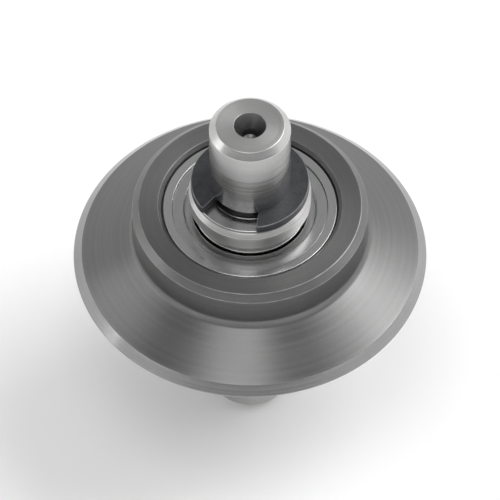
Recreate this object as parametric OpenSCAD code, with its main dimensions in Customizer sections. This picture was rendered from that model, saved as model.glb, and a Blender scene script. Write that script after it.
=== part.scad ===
// Scoring wheel of a rail tile cutter: a hard ground wheel that runs on two shielded ball
// bearings, held on its axle by collars, shim washers and retaining clips.
// The wheel's centre is the origin and the axle stands along Z. Lengths are in millimetres.

/* [Cutting wheel] */
// Diameter over the cutting edge
wheel_d = 22; // [20:0.5:30]
// Thickness of the disc where it meets the hub
disc_root_t = 5; // [3.6:0.1:6]
// Thickness of the disc where the ground edge begins
disc_rim_t = 1.1; // [0.7:0.05:1.6]
// Radial depth of the ground edge
edge_depth = 0.5; // [0.3:0.05:0.8]
// Width of the land left along the tip of the edge
edge_land = 0.04; // [0.02:0.01:0.1]
// Wall of the hub around the bearing seats
hub_wall = 1.8; // [1.2:0.1:2.4]
// Fillet radius where the disc runs into the hub
hub_fillet = 0.6; // [0.3:0.05:0.9]
// Chamfer around the hub's outer corners
hub_chamfer = 0.4; // [0.1:0.05:0.6]
// Lead-in chamfer at the mouth of each bearing seat
seat_chamfer = 0.2; // [0.1:0.05:0.4]
// Depth of each bearing's face below the hub's face
seat_recess = 0.25; // [0.05:0.05:0.5]
// Width of the inside shoulder that parts the two bearings
shoulder_w = 1.6; // [1:0.1:3]
// Height of the inside shoulder above the bearing seats
shoulder_h = 0.7; // [0.4:0.05:0.9]

/* [Bearings, 5 x 11 x 4 as set here] */
// Diameter of each ball
ball_d = 1.6; // [1.4:0.05:1.8]
// Number of balls in each bearing
ball_count = 8; // [6:1:9]
// Play between a ball and its raceways
race_play = 0.02; // [0.01:0.005:0.04]
// Depth of the raceway grooves below the rings' lands
race_depth = 0.3; // [0.2:0.02:0.4]
// Wall of each ring under its raceway
ring_wall = 0.68; // [0.5:0.02:1.2]
// Chamfer on the rings' corners
ring_chamfer = 0.15; // [0.05:0.05:0.25]

/* [Ball cages] */
// Play between a ball and its pocket
pocket_play = 0.03; // [0.02:0.01:0.06]
// Running gap between a cage and the rings' lands
cage_gap = 0.14; // [0.08:0.02:0.18]
// Thickness of the cage's back behind the balls
cage_back_t = 0.4; // [0.25:0.05:0.6]
// Reach of the cage's fingers past the balls' centres
finger_reach = 0.35; // [0.2:0.05:0.5]
// Width of the slot between two neighbouring fingers
finger_slot_w = 0.7; // [0.4:0.05:0.9]

/* [Shields] */
// Thickness of a shield's sheet
shield_t = 0.18; // [0.12:0.02:0.25]
// Depth of a shield's face below the ring's face
shield_recess = 0.12; // [0.05:0.01:0.2]
// Depth that a shield's inner half is pressed in by
shield_form = 0.12; // [0.05:0.01:0.2]
// Gap between a pressed-in shield and the cage's back
shield_room = 0.35; // [0.15:0.05:0.8]
// Running gap between a shield and the inner ring
shield_gap = 0.1; // [0.06:0.02:0.2]
// Height of the step in the outer ring that a shield is pressed into
shield_step = 0.3; // [0.24:0.02:0.4]
// Wall of the lip that stands in that step
shield_lip_w = 0.22; // [0.12:0.02:0.24]
// Length of that lip under the shield's sheet
shield_lip_l = 0.2; // [0.1:0.05:0.4]

/* [Axle] */
// Diameter of the axle, and of the bearings' bores
axle_d = 5; // [4:0.1:6]
// Length of each free end outside its clip
axle_end_l = 5.5; // [3:0.5:12]
// Chamfer on the axle's ends
axle_chamfer = 0.4; // [0.1:0.05:0.8]
// Diameter of each centre drilling at its mouth
centre_mouth_d = 2; // [1.4:0.1:2.2]
// Diameter of the pilot hole under its cone
centre_pilot_d = 1; // [0.6:0.1:1.2]
// Length of that pilot hole
centre_pilot_l = 0.6; // [0.3:0.1:1]
// Radial play of what slips onto the axle
slip_play = 0.02; // [0.01:0.01:0.05]

/* [Collars and shims] */
// Height of a collar's flange above its nose
collar_rim = 0.45; // [0.1:0.05:1]
// Thickness of a collar's flange
collar_t = 1.35; // [0.8:0.05:3]
// Gap between a collar's flange and the turning hub
collar_gap = 0.3; // [0.2:0.05:0.8]
// Chamfer around a collar's flange
collar_chamfer = 0.25; // [0.1:0.05:0.35]
// Chamfer at both ends of the collars' and the spacer's bores
bore_chamfer = 0.15; // [0.05:0.05:0.25]
// Width of a shim washer's ring
shim_w = 1; // [0.7:0.05:1.4]
// Thickness of a shim washer
shim_t = 0.2; // [0.1:0.05:0.5]

/* [Retaining clips] */
// Thickness of a clip
clip_t = 0.6; // [0.4:0.1:1.2]
// Depth of the clip's groove in the axle
groove_depth = 0.9; // [0.7:0.05:1]
// Spare width of the groove beside the clip
groove_play = 0.04; // [0.02:0.01:0.1]
// Width of the clip's arms, outside its hollows
clip_arm_w = 1.3; // [1.1:0.05:1.6]
// Depth of the two hollows beside the back prong
hollow_depth = 0.75; // [0.5:0.05:0.9]
// Angle that the back prong takes up
back_prong_angle = 46; // [36:1:60]
// Angle that each hollow takes up
hollow_angle = 58; // [45:1:64]
// How much narrower the mouth is than the groove's diameter
mouth_grip = 0.5; // [0.3:0.05:0.7]
// How far each side of the mouth opens out towards its lips
mouth_flare = 0.45; // [0:0.05:0.6]

/* [Hidden] */
$fn = 128;

// Radii, from the axle outwards
axle_r = axle_d / 2;
race_r = ball_d / 2 + race_play;
pocket_r = ball_d / 2 + pocket_play;
pitch_r = axle_r + ring_wall + race_r;
inner_land_r = pitch_r - race_r + race_depth;
outer_land_r = pitch_r + race_r - race_depth;
cage_in_r = inner_land_r + cage_gap;
cage_out_r = outer_land_r - cage_gap;
shield_in_r = inner_land_r + shield_gap;
shield_out_r = outer_land_r + shield_step;
seat_r = pitch_r + race_r + ring_wall;
shoulder_r = seat_r - shoulder_h;
hub_r = seat_r + hub_wall;
wheel_r = wheel_d / 2;
edge_root_r = wheel_r - edge_depth;

// Radii of what is stacked outside the bearings
nose_r = inner_land_r - ring_chamfer;
collar_r = nose_r + collar_rim;
shim_r = axle_r + shim_w;
groove_r = axle_r - groove_depth;
hollow_r = groove_r + hollow_depth;
clip_r = hollow_r + clip_arm_w;

// Heights inside a bearing, counted from its own middle
cage_back_z = pocket_r + cage_back_t;
shield_under_z = cage_back_z + shield_room + shield_form;
shield_face_z = shield_under_z + shield_t;
ring_face_z = shield_face_z + shield_recess;
shield_foot_z = shield_under_z - shield_lip_l;

// Heights along the axle, counted from the wheel's middle
bearing_z = shoulder_w / 2 + ring_face_z;
bearing_face_z = bearing_z + ring_face_z;
hub_face_z = bearing_face_z + seat_recess;
flange_z = hub_face_z + collar_gap;
shim_z = flange_z + collar_t;
clip_z = shim_z + shim_t;
groove_end_z = clip_z + clip_t;
axle_end_z = groove_end_z + axle_end_l;

carbide = [0.38, 0.38, 0.39];
ground_steel = [0.74, 0.75, 0.76];
sheet_steel = [0.62, 0.63, 0.65];
brass = [0.76, 0.6, 0.3];
turned_steel = [0.58, 0.59, 0.6];
spring_steel = [0.24, 0.24, 0.26];

// Lifts a piece to the upper bearing's middle
module in_bearing() translate([0, 0, bearing_z]) children();

// Turns a piece of the upper half over to the lower half
module on_lower_side() mirror([0, 0, 1]) children();

// Section of a turned washer or tube, its outer and its bore's corners chamfered
module tube_section(r_in, r_out, z_low, z_high, outer = 0, inner = 0) {
    polygon([
        [r_in, z_low + inner], [r_in + inner, z_low],
        [r_out - outer, z_low], [r_out, z_low + outer],
        [r_out, z_high - outer], [r_out - outer, z_high],
        [r_in + inner, z_high], [r_in, z_high - inner]
    ]);
}

// Section of the wheel: the outline of its upper half, mirrored, less the two hub fillets
module wheel_section() {
    slope = atan2(disc_root_t - disc_rim_t, 2 * (edge_root_r - hub_r));
    reach = hub_fillet / tan((90 + slope) / 2);
    corner = [hub_r, disc_root_t / 2];
    centre = corner + [hub_fillet, reach];
    upper_half = [
        [shoulder_r, shoulder_w / 2], [seat_r, shoulder_w / 2],
        [seat_r, hub_face_z - seat_chamfer], [seat_r + seat_chamfer, hub_face_z],
        [hub_r - hub_chamfer, hub_face_z], [hub_r, hub_face_z - hub_chamfer],
        corner + [0, reach], centre, corner + reach * [cos(slope), -sin(slope)],
        [edge_root_r, disc_rim_t / 2], [wheel_r, edge_land / 2]
    ];
    last = len(upper_half) - 1;
    difference() {
        polygon([
            each upper_half,
            for (i = [last : -1 : 0]) [upper_half[i].x, -upper_half[i].y]
        ]);
        for (side = [-1, 1]) translate([centre.x, side * centre.y]) circle(r = hub_fillet);
    }
}

// Hard wheel: ground V edge, wide cone, hub with a bearing seat on each side of a shoulder
module cutting_wheel() {
    color(carbide) rotate_extrude() wheel_section();
}

// Outer ring: raceway in the middle, a step at each face for a shield
module outer_ring() {
    color(ground_steel) rotate_extrude() difference() {
        polygon([
            [outer_land_r, -shield_foot_z], [shield_out_r, -shield_foot_z],
            [shield_out_r, -ring_face_z], [seat_r - ring_chamfer, -ring_face_z],
            [seat_r, -ring_face_z + ring_chamfer], [seat_r, ring_face_z - ring_chamfer],
            [seat_r - ring_chamfer, ring_face_z], [shield_out_r, ring_face_z],
            [shield_out_r, shield_foot_z], [outer_land_r, shield_foot_z]
        ]);
        translate([pitch_r, 0]) circle(r = race_r);
    }
}

// Inner ring: its bore is a tight fit on the axle
module inner_ring() {
    color(ground_steel) rotate_extrude() difference() {
        polygon([
            [axle_r, -ring_face_z + ring_chamfer], [axle_r + ring_chamfer, -ring_face_z],
            [inner_land_r, -ring_face_z], [inner_land_r, ring_face_z],
            [axle_r + ring_chamfer, ring_face_z], [axle_r, ring_face_z - ring_chamfer]
        ]);
        translate([pitch_r, 0]) circle(r = race_r);
    }
}

module balls() {
    color(ground_steel) for (i = [0 : ball_count - 1])
        rotate([0, 0, i * 360 / ball_count]) translate([pitch_r, 0, 0]) sphere(d = ball_d);
}

// Crown cage: a ring behind the balls, with a pair of fingers around each one
module cage() {
    step = 360 / ball_count;
    color(brass) difference() {
        rotate_extrude() tube_section(cage_in_r, cage_out_r, -finger_reach, cage_back_z);
        for (i = [0 : ball_count - 1]) {
            rotate([0, 0, i * step]) translate([pitch_r, 0, 0]) sphere(r = pocket_r);
            rotate([0, 0, (i + 0.5) * step])
                translate([inner_land_r, -finger_slot_w / 2, -2 * finger_reach])
                    cube([outer_land_r - inner_land_r, finger_slot_w,
                        2 * finger_reach + pocket_r / 2]);
        }
    }
}

// Pressed shield: its inner half is pressed in, its lip stands in the outer ring's step
module shield() {
    lip_r = shield_out_r - shield_lip_w;
    bend_r = (shield_in_r + lip_r) / 2;
    bend_w = shield_form / 2;
    color(sheet_steel) rotate_extrude() polygon([
        [shield_in_r, shield_under_z - shield_form], [shield_in_r, shield_face_z - shield_form],
        [bend_r - bend_w, shield_face_z - shield_form], [bend_r + bend_w, shield_face_z],
        [shield_out_r, shield_face_z], [shield_out_r, shield_foot_z],
        [lip_r, shield_foot_z], [lip_r, shield_under_z],
        [bend_r + bend_w, shield_under_z], [bend_r - bend_w, shield_under_z - shield_form]
    ]);
}

// Tube that keeps the two inner rings apart
module bearing_spacer() {
    color(turned_steel) rotate_extrude()
        tube_section(axle_r + slip_play, nose_r, -shoulder_w / 2, shoulder_w / 2,
            inner = bore_chamfer);
}

// Collar: its nose bears on the inner ring alone, its flange keeps clear of the hub
module collar() {
    color(turned_steel) rotate_extrude() {
        tube_section(axle_r + slip_play, nose_r, bearing_face_z, flange_z + collar_t / 2,
            inner = bore_chamfer);
        tube_section(axle_r + slip_play, collar_r, flange_z, shim_z,
            outer = collar_chamfer, inner = bore_chamfer);
    }
}

module shim_washer() {
    color(sheet_steel) rotate_extrude()
        tube_section(axle_r + slip_play, shim_r, shim_z, clip_z);
}

// Wedge from the middle, turned clockwise from the clip's back
module wedge(from, to) {
    far = 2 * clip_r;
    polygon([[0, 0], far * [sin(from), cos(from)], far * [sin(to), cos(to)]]);
}

// Outline of the clip: an open ring that grips the groove with its back and two end prongs
module clip_outline() {
    lip_half = groove_r - mouth_grip / 2;
    hollow_start = back_prong_angle / 2;
    difference() {
        circle(r = clip_r);
        circle(r = groove_r);
        for (side = [0, 1]) mirror([side, 0]) intersection() {
            circle(r = hollow_r);
            wedge(hollow_start, hollow_start + hollow_angle);
        }
        polygon([
            [-lip_half, 0], [lip_half, 0], [lip_half, -groove_r],
            [lip_half + mouth_flare, -clip_r], [-lip_half - mouth_flare, -clip_r],
            [-lip_half, -groove_r]
        ]);
    }
}

module retaining_clip() {
    color(spring_steel) translate([0, 0, clip_z]) linear_extrude(clip_t) clip_outline();
}

// Section of a centre drilling: a cone of 60 degrees over a pilot hole with a drilled point
module centre_drilling() {
    mouth_r = centre_mouth_d / 2;
    pilot_r = centre_pilot_d / 2;
    cone_low_z = axle_end_z - (mouth_r - pilot_r) / tan(30);
    pilot_low_z = cone_low_z - centre_pilot_l;
    polygon([
        [0, pilot_low_z - pilot_r / tan(59)], [pilot_r, pilot_low_z], [pilot_r, cone_low_z],
        [mouth_r + axle_chamfer * tan(30), axle_end_z + axle_chamfer],
        [0, axle_end_z + axle_chamfer]
    ]);
}

// Ground axle with a groove for each clip and centre drilled ends
module axle_pin() {
    color(ground_steel) rotate_extrude() difference() {
        tube_section(0, axle_r, -axle_end_z, axle_end_z, axle_chamfer);
        for (side = [0, 1]) mirror([0, side]) {
            translate([groove_r, clip_z - groove_play])
                square([axle_d, clip_t + groove_play]);
            centre_drilling();
        }
    }
}

cutting_wheel();
axle_pin();
bearing_spacer();
in_bearing() outer_ring();  // upper_outer_ring
in_bearing() inner_ring();  // upper_inner_ring
in_bearing() cage();  // upper_cage
in_bearing() balls();  // upper_balls
in_bearing() shield();  // upper_outside_shield
in_bearing() mirror([0, 0, 1]) shield();  // upper_inside_shield
on_lower_side() in_bearing() outer_ring();  // lower_outer_ring
on_lower_side() in_bearing() inner_ring();  // lower_inner_ring
on_lower_side() in_bearing() cage();  // lower_cage
on_lower_side() in_bearing() balls();  // lower_balls
on_lower_side() in_bearing() shield();  // lower_outside_shield
on_lower_side() in_bearing() mirror([0, 0, 1]) shield();  // lower_inside_shield
collar();  // upper_collar
shim_washer();  // upper_shim_washer
retaining_clip();  // upper_retaining_clip
on_lower_side() collar();  // lower_collar
on_lower_side() shim_washer();  // lower_shim_washer
on_lower_side() retaining_clip();  // lower_retaining_clip
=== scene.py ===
import math

import bmesh
import bpy
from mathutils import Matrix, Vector
from mathutils.geometry import delaunay_2d_cdt


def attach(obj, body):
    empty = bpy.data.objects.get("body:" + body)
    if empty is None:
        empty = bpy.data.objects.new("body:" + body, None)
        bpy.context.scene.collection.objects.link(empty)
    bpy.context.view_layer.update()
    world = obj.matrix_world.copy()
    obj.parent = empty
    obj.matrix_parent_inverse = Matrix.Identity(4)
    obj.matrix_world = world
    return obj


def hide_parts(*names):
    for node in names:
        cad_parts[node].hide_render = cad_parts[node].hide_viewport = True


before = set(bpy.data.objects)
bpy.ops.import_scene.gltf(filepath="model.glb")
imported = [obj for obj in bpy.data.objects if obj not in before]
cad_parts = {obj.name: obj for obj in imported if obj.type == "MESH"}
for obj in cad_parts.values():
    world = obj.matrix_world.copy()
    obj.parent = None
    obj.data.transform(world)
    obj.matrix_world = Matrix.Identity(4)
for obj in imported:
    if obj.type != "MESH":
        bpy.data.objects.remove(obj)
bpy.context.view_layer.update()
millimetre = 0.001
scene = bpy.context.scene
scene.view_settings.view_transform = "Standard"

# camera: looks down on the wheel's upper face, as the photo does
camera = {
    "azimuth": 24,
    "elevation": 53,
    "lens": 520,
    "distance": 0.45,
    "aim": (0, 0, 0.0004),
    "nearest": 0.005,
    "farthest": 10,
}


def placeCamera(settings):
    turn = math.radians(settings["azimuth"])
    rise = math.radians(settings["elevation"])
    back = Vector((
        math.sin(turn) * math.cos(rise),
        -math.cos(turn) * math.cos(rise),
        math.sin(rise),
    ))
    lens = bpy.data.cameras.new("camera")
    lens.lens = settings["lens"]
    lens.clip_start = settings["nearest"]
    lens.clip_end = settings["farthest"]
    cameraObject = bpy.data.objects.new("camera", lens)
    scene.collection.objects.link(cameraObject)
    cameraObject.location = Vector(settings["aim"]) + back * settings["distance"]
    cameraObject.rotation_euler = (-back).to_track_quat("-Z", "Y").to_euler()
    scene.camera = cameraObject


placeCamera(camera)
print("camera placed")

# node helpers


# what the finishes share: spans of a pattern's values, bands in mm, and patches of edge wear and
# painted edge highlight
patterns = {
    "broad": (0.2, 0.8),
    "usual": (0.3, 0.7),
    "narrow": (0.35, 0.65),
    "endBand": (-0.04, -0.01),
    "patchesPerMm": 1.3,
    "patchSpan": (0.35, 0.6),
    "leastWornAndHighlit": 0.4,
}


def addNode(tree, kind, values=None, **settings):
    node = tree.nodes.new(kind)
    for name, value in settings.items():
        setattr(node, name, value)
    for name, value in (values or {}).items():
        if isinstance(value, bpy.types.NodeSocket):
            tree.links.new(value, node.inputs[name])
        else:
            node.inputs[name].default_value = value
    return node


def calculate(tree, operation, first, second=0.0, third=0.0):
    values = {0: first, 1: second}
    if operation == "MULTIPLY_ADD":
        values[2] = third
    return addNode(tree, "ShaderNodeMath", values, operation=operation).outputs[0]


# maps low to high in a pattern onto start to end
def spread(tree, value, low, high, start, end):
    values = {"Value": value, "From Min": low, "From Max": high, "To Min": start, "To Max": end}
    return addNode(tree, "ShaderNodeMapRange", values).outputs["Result"]


# 0 below start and 1 above end, with a soft step between them
def softStep(tree, value, start, end):
    values = {"Value": value, "From Min": start, "From Max": end}
    step = addNode(tree, "ShaderNodeMapRange", values, interpolation_type="SMOOTHSTEP")
    return step.outputs["Result"]


# a share of the first pattern, and the rest from the second
def blendPatterns(tree, first, second, share):
    rest = calculate(tree, "MULTIPLY", second, 1 - share)
    return calculate(tree, "MULTIPLY_ADD", first, share, rest)


def blendColours(tree, factor, first, second):
    values = {0: factor, 6: first, 7: second}
    return addNode(tree, "ShaderNodeMix", values, data_type="RGBA").outputs[2]


def grey(level, warmth=0.0):
    return (level * (1 + warmth), level, level * (1 - warmth), 1)


# takes a level from its darker to its brighter share, as a pattern goes from 0 to 1
def shadeGrey(tree, pattern, level, shares, warmths=(0.0, 0.0)):
    dark, bright = (grey(level * share, warmth) for share, warmth in zip(shares, warmths))
    return blendColours(tree, pattern, dark, bright)


# place on the piece in millimetres, with its distance from the axle and its height
def placeOnPiece(tree):
    coordinates = addNode(tree, "ShaderNodeTexCoord").outputs["Object"]
    values = {0: coordinates, "Scale": 1 / millimetre}
    inMillimetres = addNode(tree, "ShaderNodeVectorMath", values, operation="SCALE").outputs[0]
    parts = addNode(tree, "ShaderNodeSeparateXYZ", {0: inMillimetres})
    x, y, height = parts.outputs
    flat = addNode(tree, "ShaderNodeCombineXYZ", {0: x, 1: y, 2: 0.0}).outputs[0]
    radius = addNode(tree, "ShaderNodeVectorMath", {0: flat}, operation="LENGTH").outputs["Value"]
    towards = addNode(tree, "ShaderNodeVectorMath", {0: flat}, operation="NORMALIZE").outputs[0]
    around = addNode(tree, "ShaderNodeSeparateXYZ", {0: towards})
    return {
        "place": inMillimetres,
        "height": height,
        "radius": radius,
        "cosine": around.outputs[0],
        "sine": around.outputs[1],
    }


# lines that run round the axle, as a turning tool or grinding wheel leaves them
def roundLines(tree, where, linesPerMm, drift, detail=3.0, roughness=0.6):
    across = calculate(tree, "MULTIPLY", where["radius"], linesPerMm)
    along = calculate(tree, "MULTIPLY", where["height"], linesPerMm)
    east = calculate(tree, "MULTIPLY", where["cosine"], drift)
    north = calculate(tree, "MULTIPLY", where["sine"], drift)
    vector = addNode(tree, "ShaderNodeCombineXYZ", {0: across, 1: east, 2: north}).outputs[0]
    noise = addNode(
        tree,
        "ShaderNodeTexNoise",
        {"Vector": vector, "W": along, "Scale": 1.0, "Detail": detail, "Roughness": roughness},
        noise_dimensions="4D",
    )
    return noise.outputs["Fac"]


# 1 on the flat faces at both ends of a piece, 0 between them
def atEnds(tree, where, endHeight):
    away = calculate(tree, "ABSOLUTE", where["height"])
    low, high = patterns["endBand"]
    return softStep(tree, away, endHeight + low, endHeight + high)


def cloud(tree, where, perMm, detail=3.0, roughness=0.55, stretch=None):
    vector = where["place"]
    if stretch:
        vector = addNode(tree, "ShaderNodeMapping", {"Vector": vector, "Scale": stretch}).outputs[0]
    values = {"Vector": vector, "Scale": perMm, "Detail": detail, "Roughness": roughness}
    return addNode(tree, "ShaderNodeTexNoise", values).outputs["Fac"]


# brightens a colour along the rounded edges, in patches: on the dark-coated clip this is bare steel
# where the coat wears through, on the bare metals it is a painted edge highlight
def brightenEdgesWornAndHighlit(tree, where, colour, amount, edgeBareAndHighlight):
    edge = addNode(tree, "ShaderNodeAttribute", attribute_name="roundedEdge").outputs["Fac"]
    patches = cloud(tree, where, patterns["patchesPerMm"], detail=2.0)
    patches = spread(tree, patches, *patterns["patchSpan"], patterns["leastWornAndHighlit"], 1.0)
    wornAndHighlit = calculate(tree, "MULTIPLY", calculate(tree, "MULTIPLY", edge, patches), amount)
    return blendColours(tree, wornAndHighlit, colour, edgeBareAndHighlight)


def startFinish(name):
    material = bpy.data.materials.new(name)
    material.use_nodes = True
    tree = material.node_tree
    shader = tree.nodes["Principled BSDF"]
    return material, tree, shader, placeOnPiece(tree)


def raiseSurface(tree, shader, height, depth):
    values = {"Height": height, "Distance": depth, "Strength": 1.0}
    bump = addNode(tree, "ShaderNodeBump", values)
    tree.links.new(bump.outputs["Normal"], shader.inputs["Normal"])


# spreads the highlight across fine round lines, so that it runs in towards the axle
def layHighlight(tree, shader, amount):
    shader.inputs["Anisotropic"].default_value = amount
    shader.inputs["Anisotropic Rotation"].default_value = 0.25  # a quarter turn
    tangent = addNode(tree, "ShaderNodeTangent", direction_type="RADIAL", axis="Z")
    tree.links.new(tangent.outputs["Tangent"], shader.inputs["Tangent"])


# finishes

groundCarbide = {
    "flank": 0.17,
    "flankShades": (0.88, 1.12),
    "flankWarmth": (0.006, 0.004),
    "flankRoughness": (0.305, 0.355),  # a range that crosses 0.27 is denoised with specks
    "edge": 0.31,
    "edgeShades": (0.9, 1.08),
    "edgeRoughness": (0.12, 0.2),
    "edgeRoot": 10.5,  # mm, the radius where the ground edge starts on the wheel
    "rootBand": (-0.03, 0.02),
    "faceHeight": 5.05,  # mm from the middle, where the hub's faces lie
    "faceRoughness": 0.08,
    "faceDepth": 2.5,  # times the depth of the lines elsewhere
    "filmPerMm": 0.35,
    "filmRoughness": 0.1,
    "grainPerMm": 9.0,
    "grainShare": 0.3,
    "shadeSpan": (0.25, 0.75),
    "linesPerMm": 3.2,
    "lineDrift": 0.1,
    # painted edge highlight: the rounded edges brighten towards this grey by this share
    "edgeWearAndHighlight": 0.3,
    "edgeBareAndHighlight": grey(0.6),
    "lay": 0.45,
    "depth": 1.0e-6,
}


def makeGroundCarbide(look):
    material, tree, shader, where = startFinish("groundCarbide")
    perMm, drift = look["linesPerMm"], look["lineDrift"]
    lines = roundLines(tree, where, perMm, drift, detail=0.0)
    fineLines = roundLines(tree, where, perMm * 2, drift * 2, detail=0.0)
    marks = blendPatterns(tree, fineLines, lines, 0.5)
    grain = cloud(tree, where, look["grainPerMm"], detail=1.0)
    film = cloud(tree, where, look["filmPerMm"])
    low, high = look["rootBand"]
    atEdge = softStep(tree, where["radius"], look["edgeRoot"] + low, look["edgeRoot"] + high)
    onFace = atEnds(tree, where, look["faceHeight"])

    shade = blendPatterns(tree, grain, marks, look["grainShare"])
    shade = spread(tree, shade, *look["shadeSpan"], 0.0, 1.0)
    flank = shadeGrey(tree, shade, look["flank"], look["flankShades"], look["flankWarmth"])
    edge = shadeGrey(tree, marks, look["edge"], look["edgeShades"])
    colour = blendColours(tree, atEdge, flank, edge)
    colour = brightenEdgesWornAndHighlit(tree, where, colour, look["edgeWearAndHighlight"], look["edgeBareAndHighlight"])
    tree.links.new(colour, shader.inputs["Base Color"])

    onFlank = spread(tree, marks, *patterns["usual"], *look["flankRoughness"])
    onFlank = calculate(tree, "SUBTRACT", onFlank, look["filmRoughness"] / 2)
    onFlank = calculate(tree, "MULTIPLY_ADD", film, look["filmRoughness"], onFlank)
    onEdge = spread(tree, fineLines, *patterns["usual"], *look["edgeRoughness"])
    rough = addNode(tree, "ShaderNodeMix", {0: atEdge, 2: onFlank, 3: onEdge}, data_type="FLOAT")
    rough = calculate(tree, "MULTIPLY_ADD", onFace, look["faceRoughness"], rough.outputs[0])
    tree.links.new(rough, shader.inputs["Roughness"])

    shader.inputs["Metallic"].default_value = 1.0
    layHighlight(tree, shader, look["lay"])
    deeper = spread(tree, onFace, 0.0, 1.0, 1.0, look["faceDepth"])
    raiseSurface(tree, shader, calculate(tree, "MULTIPLY", lines, deeper), look["depth"])
    return material


# steel with round lines: pin, bearing rings and turned collars differ in their lay and gloss
steelLooks = {
    "groundPin": {
        "level": 0.5,
        "warmth": 0.006,
        "contrast": 0.07,
        "roughness": (0.14, 0.22),
        "linesPerMm": 6.0,
        "drift": 0.25,
        "depth": 0.8e-6,
        "lay": 0.5,
        "faceHeight": 13.0,  # mm from the middle, where the flat ends lie
        "faceRoughness": 0.16,
        "faceDepth": 4.0,
        "edgeWearAndHighlight": 0.35,
        "drilled": 1.0,  # nearer to the axis than this it is drilled, not ground
    },
    "bearingSteel": {
        "level": 0.54,
        "warmth": 0.002,
        "contrast": 0.05,
        "roughness": (0.1, 0.16),
        "linesPerMm": 8.0,
        "drift": 0.3,
        "depth": 0.5e-6,
        "lay": 0.4,
        "faceHeight": 4.8,
        "faceRoughness": 0.06,
        "faceDepth": 2.0,
        "edgeWearAndHighlight": 0.3,
        "drilled": 0.0,
    },
    "turnedSteel": {
        "level": 0.45,
        "warmth": 0.012,
        "contrast": 0.5,
        "roughness": (0.285, 0.35),
        "linesPerMm": 4.5,
        "drift": 0.1,
        "depth": 1.8e-6,
        "lay": 0.7,
        "faceHeight": 6.7,
        "faceRoughness": 0.04,
        "faceDepth": 1.5,
        "edgeWearAndHighlight": 0.4,
        "drilled": 0.0,
    },
}

# what the round steels share
roundSteel = {
    "filmPerMm": 0.5,
    "filmShare": 0.35,
    # painted edge highlight: the grey that the rounded edges of the round steels brighten towards
    "edgeBareAndHighlight": grey(0.85),
    # painted shade: inside the centre drilling the colour drops to this share of the level
    "paintedShadeInDrilling": 1 / 3,
    "drilledRoughness": 0.2,
    "drilledFade": 0.03,
}


def makeRoundSteel(name, look):
    material, tree, shader, where = startFinish(name)
    lines = roundLines(tree, where, look["linesPerMm"], look["drift"], detail=1.5)
    film = cloud(tree, where, roundSteel["filmPerMm"])
    shade = blendPatterns(tree, film, lines, roundSteel["filmShare"])
    onFace = atEnds(tree, where, look["faceHeight"])
    fadesAt = look["drilled"] + roundSteel["drilledFade"]
    drilled = spread(tree, where["radius"], look["drilled"], fadesAt, 1.0, 0.0)

    level, warmth = look["level"], look["warmth"]
    shares = (1 - look["contrast"], 1 + look["contrast"])
    colour = shadeGrey(tree, shade, level, shares, (warmth, warmth))
    # painted shade: the centre drilling is darkened, as a shaded hole looks
    colour = blendColours(tree, drilled, colour, grey(level * roundSteel["paintedShadeInDrilling"]))
    colour = brightenEdgesWornAndHighlit(tree, where, colour, look["edgeWearAndHighlight"], roundSteel["edgeBareAndHighlight"])
    tree.links.new(colour, shader.inputs["Base Color"])

    rough = spread(tree, shade, *patterns["narrow"], *look["roughness"])
    rough = calculate(tree, "MULTIPLY_ADD", onFace, look["faceRoughness"], rough)
    rough = calculate(tree, "MULTIPLY_ADD", drilled, roundSteel["drilledRoughness"], rough)
    tree.links.new(rough, shader.inputs["Roughness"])

    shader.inputs["Metallic"].default_value = 1.0
    layHighlight(tree, shader, look["lay"])
    deeper = spread(tree, onFace, 0.0, 1.0, 1.0, look["faceDepth"])
    raiseSurface(tree, shader, calculate(tree, "MULTIPLY", lines, deeper), look["depth"])
    return material


pressedSheet = {
    "level": 0.49,
    "shades": (0.93, 1.06),
    "warmth": (-0.006, -0.004),
    "filmPerMm": 0.8,
    "filmShare": 0.4,
    "roughness": (0.2, 0.26),
    "rollStretch": (9.0, 0.7, 2.0),
    # painted edge highlight: the rounded edges brighten towards this grey by this share
    "edgeWearAndHighlight": 0.4,
    "edgeBareAndHighlight": grey(0.8),
    "depth": 0.35e-6,
}


# cold rolled sheet: faint straight rolling lines under a soft gloss
def makePressedSheet(look):
    material, tree, shader, where = startFinish("pressedSheet")
    rolling = cloud(tree, where, 1.0, roughness=0.6, stretch=look["rollStretch"])
    film = cloud(tree, where, look["filmPerMm"], detail=2.0)
    shade = blendPatterns(tree, film, rolling, look["filmShare"])
    colour = shadeGrey(tree, shade, look["level"], look["shades"], look["warmth"])
    colour = brightenEdgesWornAndHighlit(tree, where, colour, look["edgeWearAndHighlight"], look["edgeBareAndHighlight"])
    tree.links.new(colour, shader.inputs["Base Color"])
    rough = spread(tree, shade, *patterns["narrow"], *look["roughness"])
    tree.links.new(rough, shader.inputs["Roughness"])
    shader.inputs["Metallic"].default_value = 1.0
    raiseSurface(tree, shader, rolling, look["depth"])
    return material


darkSpring = {
    "coat": (0.026, 0.027, 0.03, 1),
    "bloom": (0.075, 0.077, 0.082, 1),
    # bare steel where the phosphate coat wears off the rounded edges
    "edgeBareAndHighlight": (0.34, 0.34, 0.35, 1),
    "edgeWearAndHighlight": 0.55,
    "crystalsPerMm": 14.0,
    "crystals": 0.5,
    "patchesPerMm": 1.6,
    "patches": 0.6,
    "metal": 0.65,
    "roughness": (0.34, 0.56),
    "depth": 3.0e-6,
}


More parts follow.
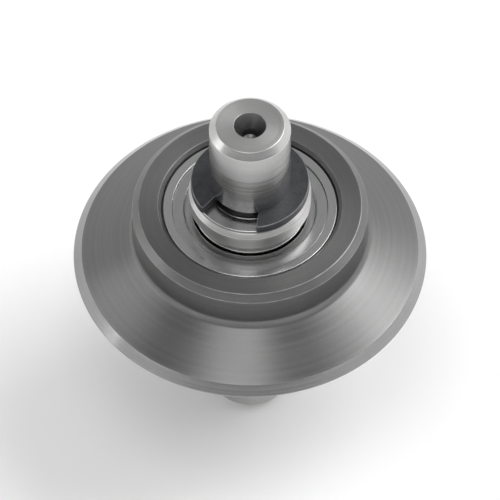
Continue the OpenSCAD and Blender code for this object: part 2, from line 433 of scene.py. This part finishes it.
# phosphated and oiled spring steel: dark, with a fine crystal bloom
def makeDarkSpring(look):
    material, tree, shader, where = startFinish("darkSpring")
    crystals = addNode(
        tree,
        "ShaderNodeTexVoronoi",
        {"Vector": where["place"], "Scale": look["crystalsPerMm"]},
        feature="F1",
    ).outputs["Distance"]
    patches = cloud(tree, where, look["patchesPerMm"], detail=4.0)
    patches = calculate(tree, "MULTIPLY", patches, look["patches"])
    shade = calculate(tree, "MULTIPLY_ADD", crystals, look["crystals"], patches)
    bloom = spread(tree, shade, *patterns["broad"], 0.0, 1.0)
    colour = blendColours(tree, bloom, look["coat"], look["bloom"])
    colour = brightenEdgesWornAndHighlit(tree, where, colour, look["edgeWearAndHighlight"], look["edgeBareAndHighlight"])
    tree.links.new(colour, shader.inputs["Base Color"])
    rough = spread(tree, shade, *patterns["broad"], *look["roughness"])
    tree.links.new(rough, shader.inputs["Roughness"])
    shader.inputs["Metallic"].default_value = look["metal"]
    raiseSurface(tree, shader, shade, look["depth"])
    return material


turnedBrass = {
    "dark": (0.5, 0.33, 0.12, 1),
    "bright": (0.72, 0.52, 0.24, 1),
    "roughness": (0.2, 0.34),
    "linesPerMm": 12.0,
    "drift": 0.8,
    "depth": 1.5e-6,
}


def makeTurnedBrass(look):
    material, tree, shader, where = startFinish("turnedBrass")
    lines = roundLines(tree, where, look["linesPerMm"], look["drift"])
    colour = blendColours(tree, lines, look["dark"], look["bright"])
    tree.links.new(colour, shader.inputs["Base Color"])
    rough = spread(tree, lines, *patterns["usual"], *look["roughness"])
    tree.links.new(rough, shader.inputs["Roughness"])
    shader.inputs["Metallic"].default_value = 1.0
    raiseSurface(tree, shader, lines, look["depth"])
    return material


finishes = {
    "groundCarbide": makeGroundCarbide(groundCarbide),
    "pressedSheet": makePressedSheet(pressedSheet),
    "darkSpring": makeDarkSpring(darkSpring),
    "turnedBrass": makeTurnedBrass(turnedBrass),
}
for steelName, steelLook in steelLooks.items():
    finishes[steelName] = makeRoundSteel(steelName, steelLook)
print("finishes made:", len(finishes))

# node trees


def startTree(name, inputs):
    tree = bpy.data.node_groups.new(name, "GeometryNodeTree")
    tree.interface.new_socket("Geometry", in_out="INPUT", socket_type="NodeSocketGeometry")
    for label, kind in inputs:
        tree.interface.new_socket(label, in_out="INPUT", socket_type="NodeSocket" + kind)
    tree.interface.new_socket("Geometry", in_out="OUTPUT", socket_type="NodeSocketGeometry")
    given = tree.nodes.new("NodeGroupInput")
    return tree, {socket.name: socket for socket in given.outputs if socket.name}


def endTree(tree, geometry, finish):
    smooth = addNode(tree, "GeometryNodeSetShadeSmooth", {"Geometry": geometry})
    real = addNode(tree, "GeometryNodeRealizeInstances", {"Geometry": smooth.outputs[0]})
    dressed = addNode(
        tree, "GeometryNodeSetMaterial", {"Geometry": real.outputs[0], "Material": finish}
    )
    result = tree.nodes.new("NodeGroupOutput")
    tree.links.new(dressed.outputs[0], result.inputs[0])


# turns a row of profile points (radius, 0, height) round the axle
def makeTurningTree():
    tree, given = startTree(
        "turning", [("Segments", "Int"), ("Weld distance", "Float"), ("Finish", "Material")]
    )
    size = addNode(tree, "GeometryNodeAttributeDomainSize", {"Geometry": given["Geometry"]})
    rows = size.outputs["Point Count"]
    columns = calculate(tree, "ADD", given["Segments"], 1.0)
    grid = addNode(tree, "GeometryNodeMeshGrid", {"Vertices X": columns, "Vertices Y": rows})
    index = addNode(tree, "GeometryNodeInputIndex").outputs[0]
    row = calculate(tree, "FLOORED_MODULO", index, rows)
    column = calculate(tree, "FLOOR", calculate(tree, "DIVIDE", index, rows))
    place = addNode(tree, "GeometryNodeInputPosition").outputs[0]
    sample = addNode(tree, "GeometryNodeSampleIndex", data_type="FLOAT_VECTOR", domain="POINT")
    tree.links.new(given["Geometry"], sample.inputs["Geometry"])
    tree.links.new(place, sample.inputs["Value"])
    tree.links.new(row, sample.inputs["Index"])
    oneStep = calculate(tree, "DIVIDE", 2 * math.pi, given["Segments"])
    turned = addNode(
        tree,
        "ShaderNodeVectorRotate",
        {"Vector": sample.outputs[0], "Angle": calculate(tree, "MULTIPLY", column, oneStep)},
        rotation_type="Z_AXIS",
    )
    moved = addNode(
        tree,
        "GeometryNodeSetPosition",
        {"Geometry": grid.outputs["Mesh"], "Position": turned.outputs[0]},
    )
    edge = addNode(tree, "GeometryNodeInputNamedAttribute", {"Name": "roundedEdge"}).outputs[0]
    edgeThere = addNode(
        tree, "GeometryNodeSampleIndex", {"Value": edge}, data_type="FLOAT", domain="POINT"
    )
    tree.links.new(given["Geometry"], edgeThere.inputs["Geometry"])
    tree.links.new(row, edgeThere.inputs["Index"])
    marked = addNode(
        tree,
        "GeometryNodeStoreNamedAttribute",
        {"Geometry": moved.outputs[0], "Name": "roundedEdge", "Value": edgeThere.outputs[0]},
        data_type="FLOAT",
        domain="POINT",
    )
    welded = addNode(
        tree,
        "GeometryNodeMergeByDistance",
        {"Geometry": marked.outputs[0], "Distance": given["Weld distance"]},
    )
    endTree(tree, welded.outputs[0], given["Finish"])
    return tree


# a full set of balls on their pitch circle
def makeBallTree():
    tree, given = startTree(
        "ballSet",
        [
            ("Balls", "Int"),
            ("Pitch radius", "Float"),
            ("Ball radius", "Float"),
            ("Height", "Float"),
            ("Fineness", "Int"),
            ("Finish", "Material"),
        ],
    )
    circle = addNode(
        tree,
        "GeometryNodeMeshCircle",
        {"Vertices": given["Balls"], "Radius": given["Pitch radius"]},
    )
    lift = addNode(tree, "ShaderNodeCombineXYZ", {2: given["Height"]})
    lifted = addNode(
        tree,
        "GeometryNodeSetPosition",
        {"Geometry": circle.outputs[0], "Offset": lift.outputs[0]},
    )
    ball = addNode(
        tree,
        "GeometryNodeMeshIcoSphere",
        {"Radius": given["Ball radius"], "Subdivisions": given["Fineness"]},
    )
    placed = addNode(
        tree,
        "GeometryNodeInstanceOnPoints",
        {"Points": lifted.outputs[0], "Instance": ball.outputs["Mesh"]},
    )
    endTree(tree, placed.outputs[0], given["Finish"])
    return tree


# runs a tree on the piece's mesh and keeps the result as a plain mesh
def runTree(piece, tree, values):
    step = piece.modifiers.new(tree.name, "NODES")
    step.node_group = tree
    for item in tree.interface.items_tree:
        if item.item_type == "SOCKET" and item.in_out == "INPUT" and item.name in values:
            step[item.identifier] = values[item.name]
    bpy.context.view_layer.update()
    depsgraph = bpy.context.evaluated_depsgraph_get()
    result = bpy.data.meshes.new_from_object(piece.evaluated_get(depsgraph), depsgraph=depsgraph)
    piece.modifiers.remove(step)
    result.materials.clear()
    result.materials.append(values["Finish"])
    result.polygons.foreach_set("material_index", [0] * len(result.polygons))
    piece.data = result
    result.name = piece.name


def faceOutwards(mesh):
    shape = bmesh.new()
    shape.from_mesh(mesh)
    bmesh.ops.recalc_face_normals(shape, faces=shape.faces)
    shape.to_mesh(mesh)
    shape.free()


def newPiece(name, mesh=None):
    piece = bpy.data.objects.new(name, mesh or bpy.data.meshes.new(name))
    scene.collection.objects.link(piece)
    return piece


def settle(piece, body, nodes):
    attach(piece, body)
    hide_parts(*nodes)


turningTree = makeTurningTree()
ballTree = makeBallTree()

# turned pieces

turning = {
    "segments": 160,
    "cornerSteps": 4,
    "stepLength": 0.06,  # mm of arc for each step beyond these
    "holdingLoop": 0.012,  # mm from each corner, so that flats shade flat
    "loopsOfFlat": 3,  # a flat with less room than this many loops gets none
    "room": 0.42,  # the most of a flat that one corner takes
    "weld": 2e-7,
}


# one rounded corner, from the flat before it to the flat after it
def roundCorner(corner, before, after, rounding, area):
    toBefore = before.normalized()
    toAfter = after.normalized()
    half = toBefore.angle(toAfter) / 2
    back = min(rounding / math.tan(half), turning["room"] * min(before.length, after.length))
    actual = back * math.tan(half)
    middle = corner + (toBefore + toAfter).normalized() * (actual / math.sin(half))
    start = corner + toBefore * back
    end = corner + toAfter * back
    first = math.atan2(start.y - middle.y, start.x - middle.x)
    last = math.atan2(end.y - middle.y, end.x - middle.x)
    sweep = (last - first + math.pi) % (2 * math.pi) - math.pi
    turnsOut = (toBefore.x * toAfter.y - toBefore.y * toAfter.x) * area < 0
    mark = 1 if turnsOut else 0
    steps = turning["cornerSteps"] + int(abs(sweep) * actual / turning["stepLength"])
    hold = turning["holdingLoop"]
    least = turning["loopsOfFlat"] * hold
    points = []
    if before.length - back > least:
        points.append((start + toBefore * hold, 0))
    for k in range(steps + 1):
        angle = first + sweep * k / steps
        points.append((middle + actual * Vector((math.cos(angle), math.sin(angle))), mark))
    if after.length - back > least:
        points.append((end + toAfter * hold, 0))
    return points


# rounds the corners of a profile of (radius, height, rounding), and gives each point with 1
# where it lies on an outer edge and 0 elsewhere
def roundProfile(corners, closed):
    count = len(corners)
    area = sum(a[0] * b[1] - b[0] * a[1] for a, b in zip(corners, corners[1:] + corners[:1]))
    path = []
    for i, (radius, height, rounding) in enumerate(corners):
        corner = Vector((radius, height))
        atOpenEnd = not closed and i in (0, count - 1)
        if rounding == 0 or atOpenEnd:
            path.append((corner, 0))
            continue
        before = Vector(corners[i - 1][:2]) - corner
        after = Vector(corners[(i + 1) % count][:2]) - corner
        path += roundCorner(corner, before, after, rounding, area)
    if closed:
        path.append(path[0])
    return path


def makeTurned(
    name,
    corners,
    finish,
    body,
    nodes,
    segments=turning["segments"],
    closed=True,
    side=1,
):
    path = roundProfile(corners, closed)
    mesh = bpy.data.meshes.new(name)
    points = [(p.x * millimetre, 0, side * p.y * millimetre) for p, _ in path]
    mesh.from_pydata(points, [(i, i + 1) for i in range(len(points) - 1)], [])
    mesh.attributes.new("roundedEdge", "FLOAT", "POINT")
    mesh.attributes["roundedEdge"].data.foreach_set("value", [mark for _, mark in path])
    piece = newPiece(name, mesh)
    values = {
        "Segments": segments,
        "Weld distance": turning["weld"],
        "Finish": finishes[finish],
    }
    runTree(piece, turningTree, values)
    faceOutwards(piece.data)
    settle(piece, body, nodes)


wheel = {
    "radius": 10.995,  # a hair inside the facets of the CAD's own edge
    "tipHalf": 0.02,
    "edgeRoot": 10.5,
    "edgeRootHalf": 0.55,
    "hub": 7.3,
    "discHalf": 2.5,
    "hubFace": 5.05,
    "hubChamfer": 0.4,
    "fillet": 0.6,
    "seat": 5.5,
    "seatChamfer": 0.2,
    "shoulder": 4.8,
    "shoulderHalf": 0.8,
    "segments": 256,
}


# each corner of a piece as its radius, its height and how far it is rounded, in mm
def wheelCorners(w):
    half = [
        (w["shoulder"], w["shoulderHalf"], 0.06),
        (w["seat"], w["shoulderHalf"], 0.05),
        (w["seat"], w["hubFace"] - w["seatChamfer"], 0.05),
        (w["seat"] + w["seatChamfer"], w["hubFace"], 0.04),
        (w["hub"] - w["hubChamfer"], w["hubFace"], 0.06),
        (w["hub"], w["hubFace"] - w["hubChamfer"], 0.06),
        (w["hub"], w["discHalf"], w["fillet"]),
        (w["edgeRoot"], w["edgeRootHalf"], 0.05),
        (w["radius"], w["tipHalf"], 0.01),
    ]
    return half + [(r, -z, rounding) for r, z, rounding in reversed(half)]


makeTurned(
    "groundWheel",
    wheelCorners(wheel),
    "groundCarbide",
    "wheel",
    ["cutting_wheel"],
    segments=wheel["segments"],
)

axle = {
    "radius": 2.5,
    "end": 13.0,
    "chamfer": 0.4,
    "groove": 1.6,
    "grooveLow": 6.86,
    "grooveHigh": 7.5,
    "centreMouth": 1.0,
    "centrePilot": 0.5,
    "pilotLength": 0.6,
    "centreHalfAngle": 30,
    "drillHalfAngle": 59,
}


def axleCorners(a):
    coneWidth = a["centreMouth"] - a["centrePilot"]
    coneLow = a["end"] - coneWidth / math.tan(math.radians(a["centreHalfAngle"]))
    pilotLow = coneLow - a["pilotLength"]
    drillTip = pilotLow - a["centrePilot"] / math.tan(math.radians(a["drillHalfAngle"]))
    half = [
        (a["radius"], a["grooveLow"], 0.03),
        (a["groove"], a["grooveLow"], 0.04),
        (a["groove"], a["grooveHigh"], 0.04),
        (a["radius"], a["grooveHigh"], 0.03),
        (a["radius"], a["end"] - a["chamfer"], 0.05),
        (a["radius"] - a["chamfer"], a["end"], 0.05),
        (a["centreMouth"], a["end"], 0.04),
        (a["centrePilot"], coneLow, 0.04),
        (a["centrePilot"], pilotLow, 0.04),
        (0, drillTip, 0),
    ]
    return [(r, -z, rounding) for r, z, rounding in reversed(half)] + half


makeTurned(
    "groundAxle",
    axleCorners(axle),
    "groundPin",
    "axle",
    ["axle_pin"],
    closed=False,
)

bearing = {
    "middle": 2.8,
    "bore": 2.5,
    "outside": 5.5,
    "halfWidth": 2.0,
    "pitch": 4.0,
    "race": 0.82,
    "raceSteps": 14,
    "innerLand": 3.48,
    "outerLand": 4.52,
    "chamfer": 0.15,
    "shieldSeat": 4.82,
    "shieldFoot": 1.5,
    "shieldUnder": 1.7,
    "shieldFace": 1.88,
    "shieldForm": 0.12,
    "shieldInner": 3.58,
    "shieldLip": 0.22,
    "balls": 8,
    "ball": 0.8,
    "ballFineness": 5,
}


# raceway arc between the two lands, from one side of the ring to the other
def racewayCorners(b, land, upwards):
    reach = math.acos(abs(b["pitch"] - land) / b["race"])
    outwards = 1 if land > b["pitch"] else -1
    points = []
    for k in range(b["raceSteps"] + 1):
        angle = reach * (2 * k / b["raceSteps"] - 1)
        radius = b["pitch"] + outwards * b["race"] * math.cos(angle)
        points.append((radius, b["race"] * math.sin(angle), 0))
    return points if upwards else points[::-1]


def outerRingCorners(b):
    lip, face, foot = b["shieldSeat"], b["halfWidth"], b["shieldFoot"]
    edge = b["outside"] - b["chamfer"]
    return [
        (b["outerLand"], -foot, 0.03),
        (lip, -foot, 0.02),
        (lip, -face, 0.03),
        (edge, -face, 0.03),
        (b["outside"], -face + b["chamfer"], 0.03),
        (b["outside"], face - b["chamfer"], 0.03),
        (edge, face, 0.03),
        (lip, face, 0.03),
        (lip, foot, 0.02),
        (b["outerLand"], foot, 0.03),
        *racewayCorners(b, b["outerLand"], False),
    ]


def innerRingCorners(b):
    face, chamfer = b["halfWidth"], b["chamfer"]
    return [
        (b["bore"], -face + chamfer, 0.03),
        (b["bore"] + chamfer, -face, 0.03),
        (b["innerLand"], -face, 0.04),
        *racewayCorners(b, b["innerLand"], True),
        (b["innerLand"], face, 0.04),
        (b["bore"] + chamfer, face, 0.03),
        (b["bore"], face - chamfer, 0.03),
    ]


def shieldCorners(b):
    under, face, form = b["shieldUnder"], b["shieldFace"], b["shieldForm"]
    inner, outer = b["shieldInner"], b["shieldSeat"]
    lip = outer - b["shieldLip"]
    bend = (inner + lip) / 2
    half = form / 2
    return [
        (inner, under - form, 0.03),
        (inner, face - form, 0.05),
        (bend - half, face - form, 0.06),
        (bend + half, face, 0.06),
        (outer, face, 0.05),
        (outer, b["shieldFoot"], 0.04),
        (lip, b["shieldFoot"], 0.04),
        (lip, under, 0.03),
        (bend + half, under, 0.06),
        (bend - half, under - form, 0.06),
    ]


collar = {
    "bore": 2.52,
    "nose": 3.33,
    "flange": 3.78,
    "low": 4.8,
    "flangeLow": 5.35,
    "high": 6.7,
    "chamfer": 0.25,
    "boreChamfer": 0.15,
}


def collarCorners(c):
    bore, lead = c["bore"], c["boreChamfer"]
    return [
        (bore, c["low"] + lead, 0.03),
        (bore + lead, c["low"], 0.03),
        (c["nose"], c["low"], 0.05),
        (c["nose"], c["flangeLow"], 0.03),
        (c["flange"] - c["chamfer"], c["flangeLow"], 0.05),
        (c["flange"], c["flangeLow"] + c["chamfer"], 0.05),
        (c["flange"], c["high"] - c["chamfer"], 0.05),
        (c["flange"] - c["chamfer"], c["high"], 0.05),
        (bore + lead, c["high"], 0.03),
        (bore, c["high"] - lead, 0.03),
    ]


washers = {
    "bore": 2.52,
    "shim": 3.5,
    "shimLow": 6.7,
    "shimHigh": 6.9,
    "spacer": 3.33,
    "spacerHalf": 0.8,
    "spacerLead": 0.15,
}


def washerCorners(inner, outer, low, high, rounding, lead=0):
    if not lead:
        bore = [(inner, high, rounding), (inner, low, rounding)]
    else:
        bore = [
            (inner + lead, high, rounding),
            (inner, high - lead, rounding),
            (inner, low + lead, rounding),
            (inner + lead, low, rounding),
        ]
    return bore + [(outer, low, rounding), (outer, high, rounding)]


def lifted(corners, height, turnedOver=False):
    if turnedOver:
        return [(r, height - z, rounding) for r, z, rounding in corners]
    return [(r, height + z, rounding) for r, z, rounding in corners]


spacerHalf = washers["spacerHalf"]
makeTurned(
    "innerSpacer",
    washerCorners(
        washers["bore"], washers["spacer"], -spacerHalf, spacerHalf, 0.03, washers["spacerLead"]
    ),
    "turnedSteel",
    "axle",
    ["bearing_spacer"],
)

sides = (("upper", 1), ("lower", -1))
middle = bearing["middle"]
shim = washerCorners(
    washers["bore"], washers["shim"], washers["shimLow"], washers["shimHigh"], 0.04
)
# name, corners, finish, body, node and slot of what each side has
sidePieces = (
    ("OuterRing", lifted(outerRingCorners(bearing), middle), "bearingSteel", "wheel",
     "outer_ring", "bearing_steel"),
    ("InnerRing", lifted(innerRingCorners(bearing), middle), "bearingSteel", "axle",
     "inner_ring", "bearing_steel"),
    ("OutsideShield", lifted(shieldCorners(bearing), middle), "pressedSheet", "wheel",
     "outside_shield", "sheet_steel"),
    ("InsideShield", lifted(shieldCorners(bearing), middle, True), "pressedSheet", "wheel",
     "inside_shield", "sheet_steel"),
    ("Collar", collarCorners(collar), "turnedSteel", "axle", "collar", "turned_steel"),
    ("Shim", shim, "pressedSheet", "axle", "shim_washer", "sheet_steel"),
)
for sideName, side in sides:
    for pieceName, corners, finish, body, node, slotName in sidePieces:
        name = sideName + pieceName
        makeTurned(name, corners, finish, body, [f"{sideName}_{node}"], side=side)
print("turned pieces made")

for sideName, side in sides:
    balls = newPiece(sideName + "Balls")
    values = {
        "Balls": bearing["balls"],
        "Pitch radius": bearing["pitch"] * millimetre,
        "Ball radius": bearing["ball"] * millimetre,
        "Height": side * middle * millimetre,
        "Fineness": bearing["ballFineness"],
        "Finish": finishes["bearingSteel"],
    }
    runTree(balls, ballTree, values)
    settle(balls, sideName + "_ball_set", [sideName + "_balls"])

# the cages keep the shape they come with
for sideName, side in sides:
    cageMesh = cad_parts[sideName + "_cage"].data
    cageMesh.materials.clear()
    cageMesh.materials.append(finishes["turnedBrass"])
print("balls and cages made")

# retaining clips

clip = {
    "outside": 3.65,
    "groove": 1.6,
    "hollow": 2.35,
    "low": 6.9,
    "thickness": 0.6,
    "backProng": 46.0,
    "hollowAngle": 58.0,
    "mouthHalf": 1.35,
    "flare": 0.45,
    "arcSteps": {"prong": 8, "hollow": 20, "lip": 12, "outside": 60},
    "spacing": 0.045,
    "softening": 24,  # rounds of averaging that wear the outline's corners round
    "edge": 0.06,  # rounding of the stamped edges
    "edgeSteps": 4,
    "holdingLoop": 0.02,
    "fillLimit": 1e-6,  # mm, points nearer than this count as one
}


# outline from the back prong to the mouth, up one side and down the other
def clipOutline(c):
    outside, groove, hollow = c["outside"], c["groove"], c["hollow"]

    def arc(radius, start, end, steps):
        angles = [math.radians(start + (end - start) * k / steps) for k in range(steps + 1)]
        return [Vector((radius * math.sin(angle), radius * math.cos(angle))) for angle in angles]

    backHalf = c["backProng"] / 2
    hollowEnd = backHalf + c["hollowAngle"]
    mouthAt = 180 - math.degrees(math.asin(c["mouthHalf"] / groove))
    lipHalf = c["mouthHalf"] + c["flare"]
    lipAt = 180 - math.degrees(math.asin(lipHalf / outside))
    steps = c["arcSteps"]
    right = arc(groove, 0, backHalf, steps["prong"])
    right += arc(hollow, backHalf, hollowEnd, steps["hollow"])
    right += arc(groove, hollowEnd, mouthAt, steps["lip"])
    right.append(Vector((c["mouthHalf"], -groove)))
    right += arc(outside, lipAt, 0, steps["outside"])
    left = [Vector((-spot.x, spot.y)) for spot in reversed(right)]
    return right[:-1] + left[:-1]


# evenly spaced points, with the corners worn round by averaging each with its neighbours
def softenOutline(points, spacing, rounds):
    dense = []
    for i, here in enumerate(points):
        after = points[(i + 1) % len(points)]
        parts = max(1, round((after - here).length / spacing))
        dense += [here.lerp(after, k / parts) for k in range(parts)]
    for _ in range(rounds):
        following = dense[1:] + dense[:1]
        leading = dense[-1:] + dense[:-1]
        dense = [(a + b * 2 + c) / 4 for a, b, c in zip(leading, dense, following)]
    return dense


# at each point of the outline, the direction into the clip
def inwardsFrom(outline):
    following = outline[1:] + outline[:1]
    leading = outline[-1:] + outline[:-1]
    area = sum(a.x * b.y - b.x * a.y for a, b in zip(outline, following))
    turn = -1 if area > 0 else 1
    inwards = []
    for before, after in zip(leading, following):
        along = (after - before).normalized()
        inwards.append(Vector((along.y, -along.x)) * turn)
    return inwards


# inset and height of each loop round the clip, from its lower face to its upper face
def clipLevels(c):
    edge, hold = c["edge"], c["holdingLoop"]
    levels = [(edge + hold, 0)]
    for k in range(c["edgeSteps"] + 1):
        angle = math.pi / 2 * k / c["edgeSteps"]
        levels.append((edge * (1 - math.sin(angle)), edge * (1 - math.cos(angle))))
    levels.append((0, edge + hold))
    return levels + [(inset, c["thickness"] - z) for inset, z in reversed(levels)]


def makeClip(name, side, node):
    outline = softenOutline(clipOutline(clip), clip["spacing"], clip["softening"])
    inwards = inwardsFrom(outline)
    levels = clipLevels(clip)
    low, thickness, edge = clip["low"], clip["thickness"], clip["edge"]
    shape = bmesh.new()
    edgeMark = shape.verts.layers.float.new("roundedEdge")
    rows = []
    for inset, z in levels:
        onEdge = 0 < inset < edge and min(z, thickness - z) < edge
        row = []
        for here, inward in zip(outline, inwards):
            x, y = here + inward * inset
            corner = shape.verts.new(Vector((x, y, side * (low + z))) * millimetre)
            corner[edgeMark] = onEdge
            row.append(corner)
        rows.append(row)
    for first, second in zip(rows, rows[1:]):
        for a, b, c, d in zip(first, first[1:] + first[:1], second[1:] + second[:1], second):
            shape.faces.new((a, b, c, d))
    # flat faces, filled with triangles inside the innermost outline
    flat = [here + inward * levels[0][0] for here, inward in zip(outline, inwards)]
    insideOnly = 1
    filled = delaunay_2d_cdt(flat, [], [list(range(len(flat)))], insideOnly, clip["fillLimit"])
    triangles, sources = filled[2:4]
    for row in (rows[0], rows[-1]):
        for triangle in triangles:
            shape.faces.new([row[sources[corner][0]] for corner in triangle])
    bmesh.ops.recalc_face_normals(shape, faces=shape.faces)
    for face in shape.faces:
        face.smooth = True
    mesh = bpy.data.meshes.new(name)
    shape.to_mesh(mesh)
    shape.free()
    mesh.materials.append(finishes["darkSpring"])
    piece = newPiece(name, mesh)
    settle(piece, "axle", [node])


for sideName, side in sides:
    makeClip(sideName + "Clip", side, sideName + "_retaining_clip")
print("clips made")

# studio

studio = {
    "floorZ": -0.013,
    "floorRadius": 0.7,
    "sweepRadius": 0.3,
    "wallHeight": 0.55,
    "flatRings": (0.3, 0.65),  # shares of the flat floor's radius
    "sweepSteps": 12,
    "floorLevel": 0.94,
    "floorMottle": 0.01,
    "mottleScale": 60.0,
    "floorRoughness": 0.7,
    "floorSegments": 96,
    "skyHigh": 0.31,
    "skyLow": 0.58,
    "skyFades": (0.4, 1.0),
    "lamps": {
        "keyBox": {"place": (0.44, 0.46, 0.77), "width": 0.72, "height": 0.72, "level": 3.7},
        "fillBox": {"place": (-0.75, -0.25, 0.5), "width": 0.55, "height": 0.55, "level": 1.0},
        "topBox": {"place": (0.05, -0.3, 1.0), "width": 0.45, "height": 0.45, "level": 3.4},
    },
}


# round floor that sweeps up into a low wall on every side
def makeFloor(settings):
    flat, sweep, base = settings["floorRadius"], settings["sweepRadius"], settings["floorZ"]
    profile = [(0, base)] + [(flat * share, base) for share in settings["flatRings"]]
    steps = settings["sweepSteps"]
    for k in range(steps + 1):
        angle = math.pi / 2 * k / steps
        profile.append((flat + sweep * math.sin(angle), base + sweep * (1 - math.cos(angle))))
    profile.append((flat + sweep, base + settings["wallHeight"]))
    mesh = bpy.data.meshes.new("studioFloor")
    points = [(radius, 0, height) for radius, height in profile]
    mesh.from_pydata(points, [(i, i + 1) for i in range(len(points) - 1)], [])
    floor = newPiece("studioFloor", mesh)
    material = bpy.data.materials.new("paleFloor")
    material.use_nodes = True
    tree = material.node_tree
    shader = tree.nodes["Principled BSDF"]
    coordinates = addNode(tree, "ShaderNodeTexCoord").outputs["Object"]
    values = {"Vector": coordinates, "Scale": settings["mottleScale"]}
    noise = addNode(tree, "ShaderNodeTexNoise", values).outputs["Fac"]
    level, mottle = settings["floorLevel"], settings["floorMottle"]
    colour = blendColours(tree, noise, grey(level - mottle), grey(level + mottle))
    tree.links.new(colour, shader.inputs["Base Color"])
    shader.inputs["Roughness"].default_value = settings["floorRoughness"]
    values = {
        "Segments": settings["floorSegments"],
        "Weld distance": turning["weld"],
        "Finish": material,
    }
    runTree(floor, turningTree, values)


def makeSky(settings):
    world = bpy.data.worlds.new("softSky")
    scene.world = world
    world.use_nodes = True
    tree = world.node_tree
    background = tree.nodes["Background"]
    direction = addNode(tree, "ShaderNodeTexCoord").outputs["Generated"]
    height = addNode(tree, "ShaderNodeSeparateXYZ", {0: direction}).outputs[2]
    low, high = settings["skyFades"]
    factor = spread(tree, height, low, high, 0.0, 1.0)
    sky = blendColours(tree, factor, grey(settings["skyLow"]), grey(settings["skyHigh"]))
    tree.links.new(sky, background.inputs["Color"])
    background.inputs["Strength"].default_value = 1.0


def makeLamps(settings):
    for name, lamp in settings["lamps"].items():
        light = bpy.data.lights.new(name, "AREA")
        light.shape = "RECTANGLE"
        light.size = lamp["width"]
        light.size_y = lamp["height"]
        light.energy = lamp["level"] * math.pi * lamp["width"] * lamp["height"]
        lightObject = bpy.data.objects.new(name, light)
        scene.collection.objects.link(lightObject)
        lightObject.location = lamp["place"]
        towards = -Vector(lamp["place"])
        lightObject.rotation_euler = towards.to_track_quat("-Z", "Y").to_euler()


makeFloor(studio)
makeSky(studio)
makeLamps(studio)
print("studio made")
